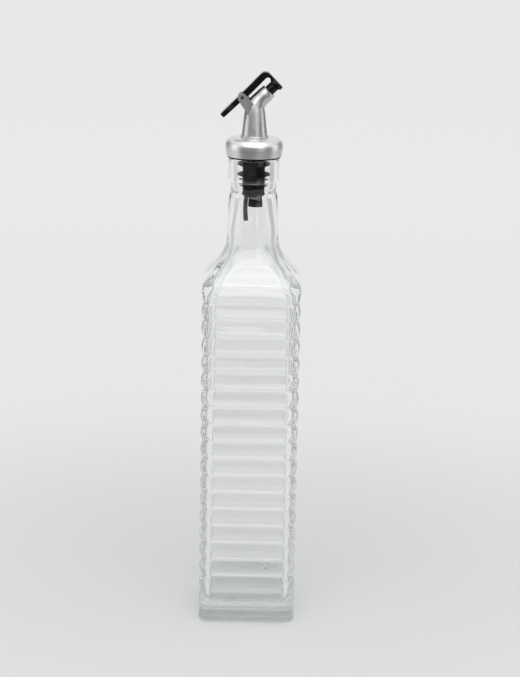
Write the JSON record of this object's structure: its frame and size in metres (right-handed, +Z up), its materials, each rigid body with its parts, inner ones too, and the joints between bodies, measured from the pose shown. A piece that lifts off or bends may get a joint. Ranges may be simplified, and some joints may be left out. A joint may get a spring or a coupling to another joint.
{
  "type": "oil bottle",
  "caption": "Clear ribbed square glass oil bottle with sloped shoulders and a round neck, closed by a silver pourer with a rubber stopper, angled spout and thumb lever flap.",
  "frame": {"origin": "centre of the base, on the table", "axes": "+Z up along the bottle, +X the way the spout pours, +Y to the left when looking along the pour"},
  "size_m": [0.057, 0.057, 0.3225],
  "materials": {
    "clear_glass": "clear pressed glass with a faint green-grey tint",
    "black_rubber": "matt black rubber",
    "black_plastic": "moulded black plastic",
    "smoky_plastic": "smoky flexible plastic",
    "satin_metal": "satin silver with fine turned lines",
    "silver_plastic": "silver lacquered moulding",
    "dark_steel": "plain steel pin",
    "gloss_black": "glossy black plastic"
  },
  "bodies": {
    "bottle": {"glass_bottle": "clear_glass"},
    "pourer": {"rubber_stopper": "black_rubber", "pour_core": "black_plastic", "air_tube": "smoky_plastic", "collar_ring": "satin_metal", "spout_shell": "silver_plastic", "nozzle_insert": "black_plastic", "hinge_pin": "dark_steel"},
    "lever": {"thumb_lever": "gloss_black", "lever_seal": "black_rubber"}
  },
  "joints": [
    {"name": "pourer_lift", "type": "slide", "parent": "bottle", "child": "pourer", "axis": [0, 0, 1], "range_m": [0, 0.06]},
    {"name": "lever_pivot", "type": "hinge", "parent": "pourer", "child": "lever", "pos_m": [-0.00721, 0, 0.30797], "axis": [0, -1, 0], "range_deg": [0, 42]}
  ]
}
